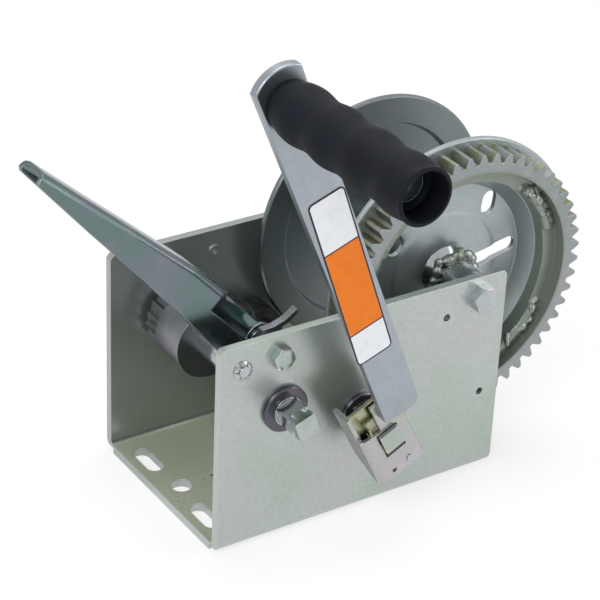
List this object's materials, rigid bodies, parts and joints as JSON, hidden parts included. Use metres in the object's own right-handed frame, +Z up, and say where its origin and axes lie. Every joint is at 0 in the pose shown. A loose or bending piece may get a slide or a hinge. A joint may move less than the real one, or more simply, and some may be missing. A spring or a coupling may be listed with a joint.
{
  "type": "trailer winch",
  "caption": "Hand winch for a boat trailer: bent frame with a flanged rope reel, meshing spur gears, removable crank with a turning grip and a hand brake lever.",
  "frame": {"origin": "centre of the frame's base, on its underside", "axes": "+Z up from the base; X along the frame, +X towards the reel end; Y across the side plates, the crank on the -Y side"},
  "size_m": [0.3521, 0.2903, 0.3074],
  "materials": {
    "plate_zinc": "bright zinc plate on pressed sheet, faint green and pink tints",
    "gear_zinc": "zinc with yellow passivation on the cut teeth",
    "reel_zinc": "duller zinc on the barrel and the far flange",
    "drum_zinc": "darker zinc on turned and cut brake parts",
    "latch_zinc": "zinc with yellow passivation on the small crank parts",
    "flange_zinc": "bright zinc plate on pressed flanges",
    "fastener_zinc": "bright zinc plate on bolts, nuts and washers",
    "bushing_steel": "dark oiled steel",
    "shaft_zinc": "turned and plated shaft",
    "lever_zinc": "bluish zinc plate on pressed sheet",
    "crank_zinc": "bright zinc plate with a fine grain",
    "bracket_zinc": "bright zinc plate with a warm tint",
    "black_steel": "black coated collar and rings",
    "spring_steel": "bare spring wire and leaf",
    "lining": "pressed friction lining",
    "brass": "solid brass rivet",
    "grip_rubber": "fine matte rubber with a light speckle",
    "core_plastic": "hard inner tube",
    "cap_steel": "bluish plated rod end",
    "label_film": "printed film, left without words or signs"
  },
  "bodies": {
    "frame": {"frame": "plate_zinc", "bushings": "bushing_steel", "axle_bolt": "fastener_zinc", "axle_nut": "fastener_zinc", "axle_washer": "fastener_zinc", "axle_sleeve": "shaft_zinc", "thrust_washers": "fastener_zinc", "pivot_bolt": "fastener_zinc", "pivot_nut": "fastener_zinc", "pivot_spacers": "fastener_zinc", "pawl_spring": "spring_steel", "stop_stud": "fastener_zinc", "push_nut": "fastener_zinc"},
    "reel": {"hub_tube": "shaft_zinc", "near_flange": "flange_zinc", "reel_gear": "gear_zinc", "barrel": "reel_zinc", "far_flange": "reel_zinc"},
    "low_shaft": {"shaft_a": "shaft_zinc", "pinion_a": "gear_zinc", "ratchet_wheel": "gear_zinc", "brake_drum": "drum_zinc", "ring_a": "black_steel"},
    "crank_set": {"shaft_b": "shaft_zinc", "pinion_b": "gear_zinc", "intermediate_gear": "gear_zinc", "collar_b": "black_steel", "ring_b": "black_steel", "crank_arm": "crank_zinc", "crank_bracket": "bracket_zinc", "bracket_rivets": "fastener_zinc", "drive_hub": "latch_zinc", "latch_spring": "spring_steel", "grip_rod": "shaft_zinc", "grip_washer": "fastener_zinc", "grip_cap": "cap_steel", "label_plate": "label_film"},
    "latch": {"latch_plate": "latch_zinc"},
    "grip": {"grip_core": "core_plastic", "grip_sleeve": "grip_rubber"},
    "pawl": {"pawl": "drum_zinc"},
    "brake": {"brake_lever": "lever_zinc", "torque_tube": "lever_zinc", "shoe_arm": "drum_zinc", "brake_lining": "lining", "lining_rivets": "brass"}
  },
  "joints": [
    {"name": "crank_spin", "type": "hinge", "parent": "frame", "child": "crank_set", "pos_m": [-0.00202, -0.045, 0.06548], "axis": [0, 1, 0], "continuous": true},
    {"name": "reel_spin", "type": "hinge", "parent": "frame", "child": "reel", "pos_m": [0.0772, 0, 0.1197], "axis": [0, 1, 0], "continuous": true},
    {"name": "low_shaft_spin", "type": "hinge", "parent": "frame", "child": "low_shaft", "pos_m": [-0.05395, 0, 0.08506], "axis": [0, 1, 0], "continuous": true},
    {"name": "grip_spin", "type": "hinge", "parent": "crank_set", "child": "grip", "pos_m": [-0.08161, -0.155, 0.28595], "axis": [0, 1, 0], "continuous": true},
    {"name": "latch_slide", "type": "slide", "parent": "crank_set", "child": "latch", "axis": [-0.8922, 0, -0.4517], "range_m": [0, 0.0035], "stiffness_N_per_m": 800, "springref_m": -0.004},
    {"name": "pawl_swing", "type": "hinge", "parent": "frame", "child": "pawl", "pos_m": [-0.0575, -0.048, 0.119], "axis": [0, 1, 0], "range_deg": [-12, 8]},
    {"name": "brake_swing", "type": "hinge", "parent": "frame", "child": "brake", "pos_m": [-0.0575, 0, 0.119], "axis": [0, 1, 0], "range_deg": [0, 8]}
  ],
  "couplings": [
    {"joint": "reel_spin", "follows": "crank_spin", "ratio": -0.20755},
    {"joint": "low_shaft_spin", "follows": "crank_spin", "ratio": -2.3636}
  ]
}
